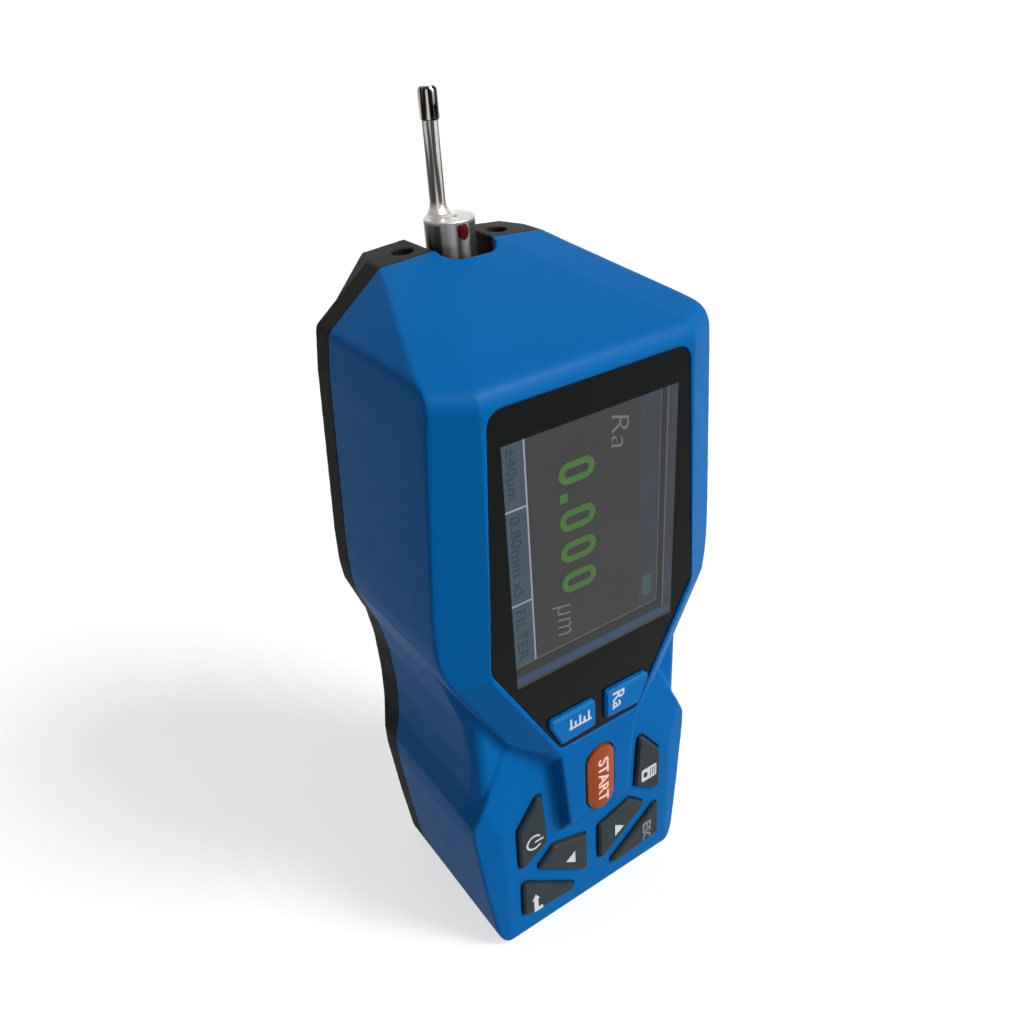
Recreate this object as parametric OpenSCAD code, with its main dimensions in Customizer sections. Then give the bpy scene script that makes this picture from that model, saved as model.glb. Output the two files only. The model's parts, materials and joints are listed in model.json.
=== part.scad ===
// Hand-held surface roughness tester, standing on its lower end with the pickup at the top.
// X runs to the right, Y to the back and Z up. Sizes are in millimetres.

/* [Case] */
// Height of the case, from its lower end to the crown of the top
case_length = 143.6; // [138:0.1:156]
// Greatest width, at the flare above the finger grips
case_width = 63.4; // [61:0.1:70]
// Depth from the display frame to the flat back
case_depth = 48; // [46:0.5:58]
// Depth of the rear shell behind the joint
rear_depth = 11; // [10.5:0.1:14]
// Wall thickness of both shells
wall = 2.2; // [1.8:0.1:2.6]
// Half width across the finger grips
grip_half = 28.1; // [27:0.1:30]
// Half width of the lower end
foot_half = 24.6; // [23:0.1:27]
// Half width of the shoulder corners
shoulder_half = 28.2; // [27:0.1:30]
// Half width of the flat top
top_half = 17; // [16:0.1:20]
// Drop from the crown to the shoulder corners
shoulder_drop = 9.6; // [6:0.1:12]
// Fall of the sloping top from the joint to the front, in degrees
top_slope = 16.25; // [10:0.25:20]
// Depth of the finger grips' hollows
grip_hollow = 2.3; // [0:0.1:3]

/* [Front face] */
// Depth of the key face behind the display frame
key_face = 3.4; // [2.4:0.1:4.4]
// Half width of the display window at its top
window_top_half = 20.5; // [19:0.1:22]
// Half width of the display window at its widest
window_half = 23.5; // [22:0.1:24]
// Half width of the display window at its lower end
window_low_half = 9.3; // [8:0.1:11]
// Distance from the centre of the display down to the lower edge of its window
window_drop = 44.6; // [43:0.1:46]
// Thickness of the display window
window_t = 1.6; // [1:0.1:2]
// Width of the visible display
display_w = 36.72; // [30:0.01:38]
// Height of the visible display
display_h = 48.96; // [40:0.01:50]
// Height of the centre of the display
display_z = 98.9; // [96:0.1:102]

/* [Keys] */
// Travel of every key
key_travel = 0.6; // [0.3:0.05:0.8]
// Gap around every key in its opening
key_gap = 0.25; // [0.15:0.05:0.4]
// Height of the grey keys above the key face
key_rise = 1; // [0.6:0.1:1.6]
// Width of the start key
start_w = 7; // [6:0.1:8.5]
// Length of the start key
start_len = 17; // [15:0.1:18]
// Height of the start key above the frame, at its crown
start_rise = 0.8; // [0.6:0.1:1.4]

/* [Pickup] */
// Diameter of the pickup body
pickup_d = 9.3; // [8:0.1:9.8]
// Length of the pickup body that stands above the crown
pickup_out = 4; // [2:0.1:8]
// Length of the pickup body
pickup_len = 35; // [33:0.5:37]
// Diameter of the stylus tube
tube_d = 2.86; // [2.6:0.02:3]
// Length of the stylus tube
tube_len = 16; // [12:0.5:20]
// Distance of the tube from the pickup axis
tube_off = 3.1; // [2.4:0.1:3.1]
// Diameter of the skid head
head_d = 3.5; // [3.2:0.1:4]
// Length of the skid head
head_len = 5.6; // [4:0.1:7]

/* [Drive] */
// Traverse of the pickup
traverse = 17.5; // [10:0.5:17.5]
// Diameter of the two guide rods
rod_d = 3; // [2.5:0.1:3.4]
// Distance of each guide rod from the middle
rod_x = 10.5; // [10:0.1:11]
// Diameter of the lead screw
screw_d = 4; // [3:0.1:4.4]
// Running clearance of rods and screw, on the radius
run = 0.03; // [0.01:0.01:0.1]
// Height of the carriage
carriage_h = 17; // [14:0.5:18]
// Tooth module of the gear pair
gear_module = 0.5; // [0.4:0.05:0.5]
// Teeth of the motor pinion
pinion_teeth = 12; // [10:1:14]
// Teeth of the lead screw gear
gear_teeth = 24; // [20:1:26]
// Diameter of the motor
motor_d = 12; // [10:0.5:12]
// Length of the motor
motor_len = 25; // [20:0.5:28]

/* [Hidden] */
$fn = 48;
half_w = case_width / 2;
front_depth = case_depth - rear_depth;
mid_depth = (case_depth - start_rise) / 2;
back_y = case_depth - mid_depth;
front_in = key_face + wall;
crown_half = 6.2;
crown_drop = 0.7;
rim = 5.2;
back_taper = 5.8;
foot_round = 2.6;
grip_sink = 1.7;
grip_roll = 2.8;
edge_roll = 4;
flange_t = 0.8;
flange_gap = 0.1;
flange_out = 0.8;
pad_gap = 0.1;
mat_t = 0.7;
pad_t = 0.3;
key_back = front_in + flange_gap + flange_t;
pad_front = key_back + key_travel + pad_gap;
board_front = pad_front + pad_t + mat_t;
board_t = 1.6;
board_back = board_front + board_t;
board_low = wall + 1.8;
board_high = case_length - 16.6;
board_foot = foot_half - 5.3;
board_waist = grip_half - 7.6;
board_edge = 2.4;
board_screw_r = 0.9;
board_head_r = 1.9;
board_head_h = 1.2;
battery_side = 13.6;
battery_half = grip_half - battery_side;
battery_low = board_low + 12;
battery_high = 0.327 * case_length;
battery_t = 7.5;
mat_low = board_low + 1;
mat_step = 0.313 * case_length;
mat_neck = board_waist - 6;
pad_r = 2.2;
window_set = 0.3;
window_back = window_set + window_t;
window_low = display_z - window_drop;
window_top = display_z + display_h / 2 + 6.4;
window_wide = display_z - 18.2;
module_half = display_w / 2 + 1.4;
board_screw_x = module_half + board_head_r + 0.54;
board_half = board_screw_x + board_edge;
module_low = display_z - display_h / 2 - 3;
module_high = display_z + display_h / 2 + 3;
module_front = window_back + 0.1;
module_t = 3;
axis_d = case_depth - 1.95 - pickup_d / 2;
axis_y = axis_d - mid_depth;
bore_r = pickup_d / 2 + 0.5;
slot_half = pickup_d / 2 + 1.4;
slot_front = front_depth - 4;
slot_low = case_length - 12;
pickup_top = case_length + pickup_out;
pickup_low = pickup_top - pickup_len;
socket_h = 5;
plug_r = 2.4;
plug_len = 3.5;
lock_r = 0.8;
lock_y = axis_y - pickup_d / 2 + 1.2;
lock_z = pickup_top - 2.4;
carriage_top = pickup_low - socket_h;
carriage_low = carriage_top - carriage_h;
carriage_side = 4;
carriage_deep = 3.6;
hub_half = 6;
hub_front = 4.5;
hub_back = 3.2;
shelf_t = 3;
stop_gap = 1;
top_shelf = carriage_top + stop_gap;
mid_shelf = carriage_low - traverse - stop_gap - 1.5 - shelf_t;
gear_face = 4;
gear_low = mid_shelf - 2 - gear_face;
low_shelf = gear_low - 3 - shelf_t;
frame_half = 15.5;
rod_d0 = axis_d - 4.9;
screw_d0 = axis_d - 9.9;
spine_t = 2.5;
gear_r = gear_module * gear_teeth / 2;
pinion_r = gear_module * pinion_teeth / 2;
spine_front = screw_d0 - gear_r - gear_module - 0.7 - spine_t;
motor_x = gear_r + pinion_r;
shelf_back = case_depth - wall - 1;
rod_y = rod_d0 - mid_depth;
screw_y = screw_d0 - mid_depth;
ear_front = front_depth + 1;
ear_t = 2.5;
ear_x = 18.5;
ear_h = 6;
boss_r = 3.4;
screw_r = 1.5;
screw_x = shoulder_half - 7.7;
screw_high = 0.85 * case_length;
screw_low_x = foot_half - 5.7;
screw_low = 10.5;
recess = 2.6;
recess_w = 0.7;
head_r = 2.75;
insert_r = 2.4;
insert_x = slot_half + 4;
insert_d = front_depth + 4.6;
insert_len = 8;
hole_r = 1.7;
tube_x = -0.25;
tube_y = axis_y + tube_off;
tube_top = pickup_top + tube_len;
flare_out = 1.5;
flare_h = 2.4;
slot_w = 1;
slot_len = 2.2;
lever_r = 0.35;
lever_bore = 0.9;
pivot_z = pickup_top - 11;
tip_z = tube_top + 1.2;

function unit(v) = v / norm(v);
function mirrored(p) = [for (i = [len(p) - 1 : -1 : 0]) [-p[i].x, p[i].y]];
function corner(a, b, c, r, n) =
    let (u = unit(a - b), w = unit(c - b), half = acos(u * w) / 2)
    let (t = min(r / tan(half), 0.48 * norm(a - b), 0.48 * norm(c - b)), q = t * tan(half))
    let (o = b + unit(u + w) * q / sin(half), s = b + u * t - o, e = b + w * t - o)
    let (a0 = atan2(s.y, s.x), turn = (atan2(e.y, e.x) - a0 + 540) % 360 - 180)
    r <= 0 ? [b] : [for (i = [0 : n]) o + q * [cos(a0 + turn * i / n), sin(a0 + turn * i / n)]];
function rounded(p, r, n = 4) =
    let (k = len(p))
    [for (i = [0 : k - 1]) each corner(p[(i + k - 1) % k], p[i], p[(i + 1) % k], is_list(r) ? r[i] : r, n)];
function inward(a, b) = let (u = unit(b - a)) [-u.y, u.x];
function inset(p, d) =
    let (k = len(p))
    [for (i = [0 : k - 1])
        let (m = inward(p[(i + k - 1) % k], p[i]), n = inward(p[i], p[(i + 1) % k]))
        p[i] + (m + n) * d / (1 + m * n)];

right_edge = [
    [foot_half, 0],
    [0.95 * grip_half, 0.127 * case_length],
    [grip_half, 0.24 * case_length],
    [grip_half, 0.508 * case_length],
    [0.987 * half_w, 0.572 * case_length],
    [half_w, 0.602 * case_length],
    [0.994 * half_w, 0.652 * case_length],
    [shoulder_half + 1, 0.881 * case_length],
    [shoulder_half, case_length - shoulder_drop],
    [top_half, case_length - crown_drop],
    [crown_half, case_length]];
edge_round = [5.5, 60, 20, 8, 5, 10, 40, 12, 2.5, 1, 4];
edge_round_back = [for (i = [len(edge_round) - 1 : -1 : 0]) edge_round[i]];
case_corners = concat(right_edge, mirrored(right_edge));
case_rounds = concat(edge_round, edge_round_back);

// Front outline of the case, shrunk by t
function case_outline(t = 0) = rounded(inset(case_corners, t), [for (r = case_rounds) max(r - t, 0.4)], 3);

window_right = [
    [window_low_half, window_low],
    [window_half, window_wide],
    [window_top_half, window_top]];
window_outline = rounded(concat(window_right, mirrored(window_right)), [1.5, 4, 2.8, 2.8, 4, 1.5], 5);

// Direction of the slanting lower edge of the display frame, and out from it
frame_along = unit([window_half - window_low_half, 0, window_wide - window_low]);
frame_out = [frame_along.z, 0, -frame_along.x];
frame_foot = 7;

// Outlines of the keys on the right; the left ones are their mirror images
corner_key = [[12.1, 27.4], [19.2, 22.4], [19.1, 34.6], [13.1, 42.8]];
arrow_key = [[1.7, 10.3], [14.9, 20.3], [10.5, 24.5], [1.7, 21.7]];
wedge_key = [[3.5, 6.6], [19.2, 7.9], [18.9, 18.6]];
soft_key = [
    [1.3, window_low + 2.1],
    [9.7, window_low + 1.7],
    [12.3, window_low + 7.5],
    [11.8, window_low + 8.7],
    [1.3, window_low + 8.8]];
mat_half = wedge_key[1].x + 1.1;
start_z = 41;

// A plate with outline p in the front view, between two depths behind the display frame
module plate(p, d0, d1) {
    translate([0, d1 - mid_depth, 0])
        rotate([90, 0, 0])
            linear_extrude(d1 - d0)
                polygon(p);
}

// A round bar along the depth
module bar(x, z, r, d0, d1) {
    translate([x, d0 - mid_depth, z])
        rotate([-90, 0, 0])
            cylinder(r = r, h = d1 - d0);
}

// A box between two corners, with its middle depth given behind the display frame
module block(x0, x1, d0, d1, z0, z1) {
    translate([x0, d0 - mid_depth, z0])
        cube([x1 - x0, d1 - d0, z1 - z0]);
}

// Everything beyond the plane through a, b and c, on the side away from the keep point,
// with the plane moved by t towards that point
module beyond(a, b, c, keep, t = 0) {
    n0 = unit(cross(b - a, c - a));
    n = n0 * (keep - a) > 0 ? -n0 : n0;
    s = 260;
    translate(a - n * t - [0, mid_depth, 0])
        rotate([0, acos(n.z), atan2(n.y, n.x)])
            translate([-s / 2, -s / 2, 0])
                cube(s);
}

// The same plane cut on both sides of the case
module beyond_pair(a, b, c, t = 0) {
    keep = [0, front_depth, case_length / 2];
    beyond(a, b, c, keep, t);
    mirror([1, 0, 0])
        beyond(a, b, c, keep, t);
}

// What a rounding of radius r takes off the edge between two planes, each given by three points
module rolled_edge(p, q, r) {
    keep = [0, front_depth, case_length / 2];
    n0 = unit(cross(p[1] - p[0], p[2] - p[0]));
    m0 = unit(cross(q[1] - q[0], q[2] - q[0]));
    n = n0 * (keep - p[0]) > 0 ? -n0 : n0;
    m = m0 * (keep - q[0]) > 0 ? -m0 : m0;
    edge = cross(n, m);
    w = unit(edge);
    start = ((n * p[0]) * cross(m, edge) + (m * q[0]) * cross(edge, n)) / (edge * edge);
    at = start + w * (w * (q[0] - start)) - [0, mid_depth, 0];
    u = unit(n + m);
    v = cross(w, u);
    half = acos(n * m) / 2;
    steps = 4;
    round = [for (i = [-steps : steps]) r * [cos(half * i / steps) - 1 / cos(half), sin(half * i / steps)]];
    multmatrix([[u.x, v.x, w.x, at.x], [u.y, v.y, w.y, at.y], [u.z, v.z, w.z, at.z], [0, 0, 0, 1]])
        translate([0, 0, -half_w])
            linear_extrude(case_width)
                polygon(concat([[1, 0]], round));
}

// Side view of the front shell: flat front, rounded edge and sloping top
module side_view(t) {
    low_front = case_length - tan(top_slope) * front_depth;
    drop = t / cos(top_slope);
    profile = rounded([
        [t, -9],
        [front_depth + 9, -9],
        [front_depth + 9, case_length - drop + 9 * tan(top_slope)],
        [t, low_front - drop + t * tan(top_slope)]], [0, 0, 0, 4], 6);
    translate([-half_w - 9, -mid_depth, 0])
        rotate([90, 0, 90])
            linear_extrude(case_width + 18)
                polygon(profile);
}

// Hollows that the fingers hold
module grip_hollows(t = 0) {
    hollow = rounded([
        [0, 0.276 * case_length],
        [-0.74 * grip_hollow, 0.322 * case_length],
        [-grip_hollow, 0.376 * case_length],
        [-0.8 * grip_hollow, 0.448 * case_length],
        [0, 0.513 * case_length],
        [12, 0.62 * case_length],
        [12, 0.18 * case_length]], [3, 5, 20, 20, 6, 0, 0], 4);
    for (side = [0, 1])
        mirror([side, 0, 0])
            translate([grip_half - t, back_y + 9, 0])
                rotate([90, 0, 0])
                    linear_extrude(case_depth + 18)
                        polygon(hollow);
}

// Bevelled planes of the front shell, moved inwards by t
module front_bevels(t = 0) {
    shield_x = window_top_half + 1.1;
    // Roof planes beside the sloping top
    roof = [
        [top_half, front_depth, case_length - crown_drop],
        [crown_half, front_depth, case_length],
        [shoulder_half, 6.1, case_length - shoulder_drop]];
    // Bevels down both sides of the display frame
    bevel = [[shield_x, 0, 130], [shield_x + 1.85, 0, 80], [shield_x + 7.6, 4, 130]];
    beyond_pair(roof[0], roof[1], roof[2], t);
    beyond_pair(bevel[0], bevel[1], bevel[2], t);
    if (t == 0)
        for (side = [0, 1])
            mirror([side, 0, 0])
                rolled_edge(roof, bevel, edge_roll);
}

// Everything on the outer side of the crease that ends the key face towards the grip
module outside_crease(t = 0) {
    beyond([19, 0, 57.8], [26.1, 0, 43.3], [19, 10, 57.8], [0, 0, 0], t);
}

// Sunken face between the frame and the grip, rounded into the side, moved inwards by t
module grip_face(t = 0) {
    d = key_face + grip_sink;
    x = grip_half - grip_hollow - grip_roll;
    low = [window_low_half, 0, window_low] + frame_out * frame_foot;
    keep = [0, front_depth, case_length / 2];
    intersection() {
        for (turn = [0, 30, 60]) {
            touch = [x + grip_roll * sin(turn), d + grip_roll * (1 - cos(turn)), 0];
            beyond(touch, touch + [0, 0, 9], touch + [cos(turn), sin(turn), 0], keep, t);
        }
        outside_crease(t);
        beyond(low, low + frame_along, low + [0, 9, 0], [0, 0, display_z], t);
    }
}

module grip_faces(t = 0) {
    for (side = [0, 1])
        mirror([side, 0, 0])
            grip_face(t);
}

// Shallow bevels around the key face, and its rounded lower edge
module key_face_bevels() {
    keep = [0, front_depth, 0.2 * case_length];
    side_x = foot_half - 2.2;
    slant = [[11.2, key_face, 47.8], [22.4, key_face, 34.1], [26.1, key_face + 0.9, 43.3]];
    for (side = [0, 1])
        mirror([side, 0, 0]) {
            intersection() {
                beyond([side_x, key_face, 0], [side_x, key_face, 30], [side_x + 5, key_face + 1.4, 0], keep);
                block(0, half_w + 1, -1, key_face + 6, -1, 47);
            }
            difference() {
                intersection() {
                    beyond(slant[0], slant[1], slant[2], keep);
                    block(0, half_w + 1, -1, key_face + 6, 20, 60);
                }
                outside_crease();
            }
        }
    for (turn = [30, 60]) {
        touch = [0, key_face + foot_round * (1 - cos(turn)), foot_round * (1 - sin(turn))];
        beyond(touch, touch + [9, 0, 0], touch + [0, sin(turn), -cos(turn)], keep);
    }
}

// Raised shield that frames the display, with the tongue that carries the start key
module shield() {
    slope_in = 1;
    low = [window_low_half, 0, window_low] + frame_out * slope_in;
    foot = [window_low_half, key_face + 0.1, window_low] + frame_out * frame_foot;
    keep = [0, 10, display_z];
    difference() {
        plate(case_outline(), 0, key_face + 2.4);
        for (side = [0, 1])
            mirror([side, 0, 0]) {
                beyond(low, low + frame_along, foot, keep);
                beyond(foot, foot + frame_along, foot + [0, 9, 0], keep);
                beyond([10.4, 0, 52.9], [18.9, 0, 62.3], [10.8, key_face, 49.3], keep);
            }
        block(-half_w - 1, half_w + 1, -1, key_face + 3, -1, 47);
    }
    difference() {
        plate([[-9.9, 54], [-8.2, 24], [8.2, 24], [9.9, 54]], 0, key_face + 1);
        for (side = [0, 1])
            mirror([side, 0, 0])
                beyond([9.6, 0, 53], [7.9, 0, 32], [8.5, key_face, 32], keep);
        beyond([0, 0, 32], [5, 0, 32], [0, key_face, 26.8], keep);
    }
}

// Room that the pickup runs in, open at the top and through the back of the crown
module pickup_room() {
    room = rounded([
        [-slot_half, slot_front - mid_depth],
        [slot_half, slot_front - mid_depth],
        [slot_half, back_y + 5],
        [-slot_half, back_y + 5]], [4, 4, 0, 0], 5);
    translate([0, 0, slot_low])
        linear_extrude(40)
            polygon(room);
}

module screw_places() {
    for (x = [-1, 1]) {
        translate([x * screw_x, 0, screw_high])
            children();
        translate([x * screw_low_x, 0, screw_low])
            children();
    }
}

module board_places() {
    for (x = [-1, 1]) {
        translate([x * board_screw_x, 0, board_high - 5])
            children();
        translate([x * (board_waist - 3), 0, 0.348 * case_length])
            children();
    }
}

module ear_places() {
    for (x = [-1, 1], z = [low_shelf, top_shelf])
        translate([x * ear_x, 0, z + shelf_t / 2])
            children();
}

// Opening for one key through the front wall
module key_opening(p, d0) {
    plate(inset(p, -key_gap), d0, front_in + 1);
}

module obround(w, l) {
    translate([0, l / 2 - w / 2])
        circle(d = w);
    translate([0, w / 2 - l / 2])
        circle(d = w);
    square([w, l - w], center = true);
}

module upright(d0, d1) {
    translate([0, d1 - mid_depth, start_z])
        rotate([90, 0, 0])
            linear_extrude(d1 - d0)
                children();
}

// Web between a screw boss and the side wall
module boss_tie(x0, x1, z) {
    block(x0, x1, board_back + 4, front_depth - 3, z - 1, z + 1);
}

// Moulded front shell
module front_shell() {
    color([0, 0.39, 0.7])
        difference() {
            union() {
                difference() {
                    intersection() {
                        union() {
                            difference() {
                                plate(case_outline(), key_face, front_depth);
                                grip_faces();
                                key_face_bevels();
                            }
                            shield();
                        }
                        side_view(0);
                    }
                    front_bevels();
                    grip_hollows();
                    difference() {
                        intersection() {
                            plate(case_outline(wall), front_in, front_depth + 1);
                            side_view(wall);
                        }
                        front_bevels(wall);
                        grip_faces(wall);
                        grip_hollows(wall);
                    }
                }
                // Bosses for the case screws, tied to the side walls
                screw_places()
                    bar(0, 0, boss_r, board_back + 3, front_depth);
                for (side = [0, 1])
                    mirror([side, 0, 0]) {
                        boss_tie(screw_x, shoulder_half - 0.2, screw_high);
                        boss_tie(screw_low_x, foot_half - 0.3, screw_low);
                    }
                board_places()
                    bar(0, 0, 2, front_in - 0.5, board_front);
            }
            plate(inset(window_outline, -0.12), -1, window_back);
            block(-module_half - 0.2, module_half + 0.2, window_back - 0.2, front_in + 1,
                module_low - 0.2, module_high + 0.2);
            for (side = [0, 1])
                mirror([side, 0, 0]) {
                    key_opening(rounded(corner_key, 0.8), 0);
                    key_opening(rounded(arrow_key, 0.8), 0);
                    key_opening(rounded(wedge_key, 0.8), 0);
                    key_opening(rounded(soft_key, 0.8), -1);
                }
            upright(-1, front_in + 1)
                obround(start_w + 2 * key_gap, start_len + 2 * key_gap);
            screw_places()
                bar(0, 0, screw_r + 0.05, front_depth - 8, front_depth + 1);
            board_places()
                bar(0, 0, board_screw_r, front_in + 0.3, board_front + 1);
            block(-4.3, 4.3, board_back - 0.3, board_back + 3.5, -1, wall + 1);
            pickup_room();
        }
}

// Straight rim and tapered back of the rear shell, shrunk by t
module rear_form(t) {
    near = inset(case_corners, t);
    taper = inset(case_corners, t + back_taper);
    k = len(near);
    d0 = front_depth + rim - 0.4 * t;
    d1 = case_depth - t;
    plate(case_outline(t), front_depth - (t > 0 ? 1 : 0), d0);
    intersection() {
        plate(case_outline(t), d0 - 0.5, d1);
        polyhedron(
            points = concat(
                [for (p = near) [p.x, d0 - mid_depth, p.y]],
                [for (i = [0 : k - 1]) [taper[i].x, d1 - mid_depth, near[i].y]]),
            faces = concat(
                [for (i = [0 : k / 2 - 2]) [i, k - 1 - i, k - 2 - i, i + 1]],
                [for (i = [0 : k / 2 - 2]) [k + i, k + i + 1, 2 * k - 2 - i, 2 * k - 1 - i]],
                [for (i = [0 : k - 1]) [i, (i + 1) % k, k + (i + 1) % k]],
                [for (i = [0 : k - 1]) [i, k + (i + 1) % k, k + i]]));
    }
}

// Moulded rear shell with the tunnel for the pickup
module rear_shell() {
    color([0.1, 0.1, 0.09])
        difference() {
            union() {
                difference() {
                    rear_form(0);
                    grip_hollows();
                    difference() {
                        rear_form(wall);
                        grip_hollows(wall);
                    }
                }
                screw_places()
                    bar(0, 0, boss_r, front_depth, case_depth - 1);
                ear_places()
                    bar(0, 0, 2.6, ear_front + ear_t, case_depth - 1);
                // Walls beside the opening, with the bosses of the accessory holes
                for (side = [0, 1])
                    mirror([side, 0, 0]) {
                        block(slot_half, slot_half + 1.2, front_depth, case_depth - 1,
                            slot_low - 1, case_length - 1);
                        translate([insert_x, insert_d - mid_depth, case_length - insert_len - 3])
                            cylinder(r = insert_r + 1, h = insert_len + 2);
                    }
            }
            screw_places() {
                bar(0, 0, screw_r + 0.1, front_depth - 1, case_depth);
                bar(0, 0, head_r + 0.25, case_depth - 3.5, case_depth + 1);
            }
            ear_places()
                bar(0, 0, 1.05, ear_front, case_depth - wall);
            for (x = [-1, 1])
                translate([x * insert_x, insert_d - mid_depth, 0]) {
                    translate([0, 0, case_length - insert_len - 0.8])
                        cylinder(r = insert_r, h = insert_len);
                    translate([0, 0, case_length - 5])
                        cylinder(r = hole_r + 0.3, h = 6);
                }
            translate([0, axis_y, carriage_top - traverse - 3])
                cylinder(r = bore_r, h = case_length);
            pickup_room();
        }
}

// Glossy window with openings for the two soft keys
module display_window() {
    color([0.09, 0.11, 0.11])
        difference() {
            plate(window_outline, window_set, window_back);
            for (side = [0, 1])
                mirror([side, 0, 0])
                    key_opening(rounded(soft_key, 0.8), -1);
        }
}

module display_module() {
    color([0.28, 0.28, 0.28])
        block(-module_half, module_half, module_front, module_front + module_t, module_low, module_high);
}

// Support frame between the display and the board
module display_frame() {
    side = 3;
    color([0.85, 0.85, 0.82])
        difference() {
            block(-module_half, module_half, module_front + module_t, board_front, module_low, module_high);
            block(side - module_half, module_half - side, module_front, board_front + 1,
                module_low + side, module_high - side);
        }
}

// A key with its stem in the opening and its flange behind the wall
module key(p, top) {
    plate(rounded(p, 0.8), top + 0.3, key_back);
    plate(rounded(inset(p, 0.3), 0.6), top, top + 0.4);
    plate(rounded(inset(p, -key_gap - flange_out), 0.8), front_in + flange_gap, key_back);
}

// The start key, an obround with a domed face
module start_key() {
    dome_r = 12;
    color([0.65, 0.27, 0.1]) {
        intersection() {
            upright(-start_rise - 1, key_back)
                obround(start_w, start_len);
            union() {
                block(-start_w, start_w, 0, key_back, start_z - start_len, start_z + start_len);
                translate([0, dome_r - start_rise - mid_depth, start_z - start_len])
                    cylinder(r = dome_r, h = 2 * start_len, $fn = 96);
            }
        }
        upright(front_in + flange_gap, key_back)
            obround(start_w + 2 * key_gap + 2 * flange_out, start_len + 2 * key_gap + 2 * flange_out);
    }
}

module scale_key() {
    color([0, 0.47, 0.78])
        key(mirrored(soft_key), window_set - key_rise);
}

module parameter_key() {
    color([0, 0.47, 0.78])
        key(soft_key, window_set - key_rise);
}

module power_key() {
    color([0.24, 0.26, 0.27])
        key(mirrored(corner_key), key_face - key_rise);
}

module menu_key() {
    color([0.24, 0.26, 0.27])
        key(corner_key, key_face - key_rise);
}

module left_key() {
    color([0.24, 0.26, 0.27])
        key(mirrored(arrow_key), key_face - key_rise);
}

module right_key() {
    color([0.24, 0.26, 0.27])
        key(arrow_key, key_face - key_rise);
}

module enter_key() {
    color([0.24, 0.26, 0.27])
        key(mirrored(wedge_key), key_face - key_rise);
}

module escape_key() {
    color([0.24, 0.26, 0.27])
        key(wedge_key, key_face - key_rise);
}

// Rubber mat with a pressure pad behind each key
module key_mat() {
    right = [[mat_half, mat_low], [mat_half, mat_step], [mat_neck, mat_step], [mat_neck, window_low + 11.7]];
    color([0.8, 0.8, 0.78]) {
        plate(concat(right, mirrored(right)), pad_front + pad_t, board_front);
        for (x = [-1, 1]) {
            bar(x * 16, 30, pad_r, pad_front, board_front);
            bar(x * 7, 18.5, pad_r, pad_front, board_front);
            bar(x * 14.5, 10.8, pad_r, pad_front, board_front);
            bar(x * 6.5, window_low + 5.2, pad_r, pad_front, board_front);
        }
        bar(0, start_z, pad_r, pad_front, board_front);
    }
}

module main_board() {
    right = [
        [board_foot, board_low],
        [board_waist, 0.14 * case_length],
        [board_waist, 0.557 * case_length],
        [board_half, 0.627 * case_length],
        [board_half, board_high]];
    color([0.05, 0.32, 0.16])
        difference() {
            plate(concat(right, mirrored(right)), board_front, board_back);
            board_places()
                bar(0, 0, board_screw_r + 0.2, board_front - 1, board_back + 1);
        }
}

module board_screws() {
    color([0.7, 0.7, 0.72])
        board_places() {
            bar(0, 0, board_head_r, board_back, board_back + board_head_h);
            bar(0, 0, board_screw_r, front_in + 0.6, board_back + 0.1);
        }
}

module battery_pack() {
    color([0.2, 0.3, 0.6])
        block(-battery_half, battery_half, board_back, board_back + battery_t, battery_low, battery_high);
}

// Charging socket at the lower edge of the board
module charge_socket() {
    color([0.75, 0.75, 0.77])
        difference() {
            block(-4, 4, board_back, board_back + 3.2, 0.8, 9.5);
            block(-3.4, 3.4, board_back + 0.6, board_back + 2.6, -1, 7);
        }
}

// Machined frame of the traverse drive: spine, three shelves and four ears
module drive_frame() {
    color([0.72, 0.73, 0.75])
        difference() {
            union() {
                block(-frame_half, frame_half, spine_front, spine_front + spine_t,
                    low_shelf, top_shelf + shelf_t);
                for (z = [low_shelf, mid_shelf, top_shelf])
                    block(-frame_half, frame_half, spine_front, shelf_back, z, z + shelf_t);
                for (z = [low_shelf, top_shelf])
                    block(-ear_x - 3, ear_x + 3, ear_front, ear_front + ear_t, z + shelf_t / 2 - ear_h / 2,
                        z + shelf_t / 2 + ear_h / 2);
            }
            // The carriage and the pickup run clear of the ears' bar
            for (z = [low_shelf, top_shelf], start = [z - ear_h, z + shelf_t])
                block(-frame_half, frame_half, ear_front - 1, ear_front + ear_t + 1, start, start + ear_h);
            for (x = [-1, 1])
                translate([x * rod_x, rod_y, mid_shelf])
                    cylinder(d = rod_d, h = case_length);
            translate([0, screw_y, low_shelf - 1])
                cylinder(r = screw_d / 2 + 1.5, h = case_length);
            translate([motor_x, screw_y, low_shelf - 1])
                cylinder(r = pinion_r + gear_module + 0.4, h = shelf_t + 2);
            translate([0, axis_y, top_shelf - 1])
                cylinder(r = bore_r, h = shelf_t + 2);
            block(-bore_r, bore_r, axis_d, case_depth, top_shelf - 1, top_shelf + shelf_t + 1);
            // Window that saves weight in the spine
            block(-frame_half + 5, frame_half - 5, spine_front - 1, spine_front + spine_t + 1, mid_shelf + 9,
                top_shelf - 6);
            ear_places()
                bar(0, 0, 1.2, ear_front - 1, ear_front + ear_t + 1);
        }
}

module frame_screws() {
    color([0.7, 0.7, 0.72])
        ear_places() {
            bar(0, 0, 2.1, ear_front - 1.6, ear_front);
            bar(0, 0, 1.05, ear_front - 0.1, case_depth - wall - 0.5);
        }
}

module drive_motor() {
    color([0.78, 0.78, 0.8])
        translate([motor_x, screw_y, low_shelf - motor_len])
            difference() {
                union() {
                    cylinder(d = motor_d, h = motor_len);
                    translate([0, 0, -1.2])
                        cylinder(r = 2.5, h = 1.3);
                }
                translate([0, 0, motor_len - 6])
                    cylinder(r = 0.75 + run, h = 7);
            }
}

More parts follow.
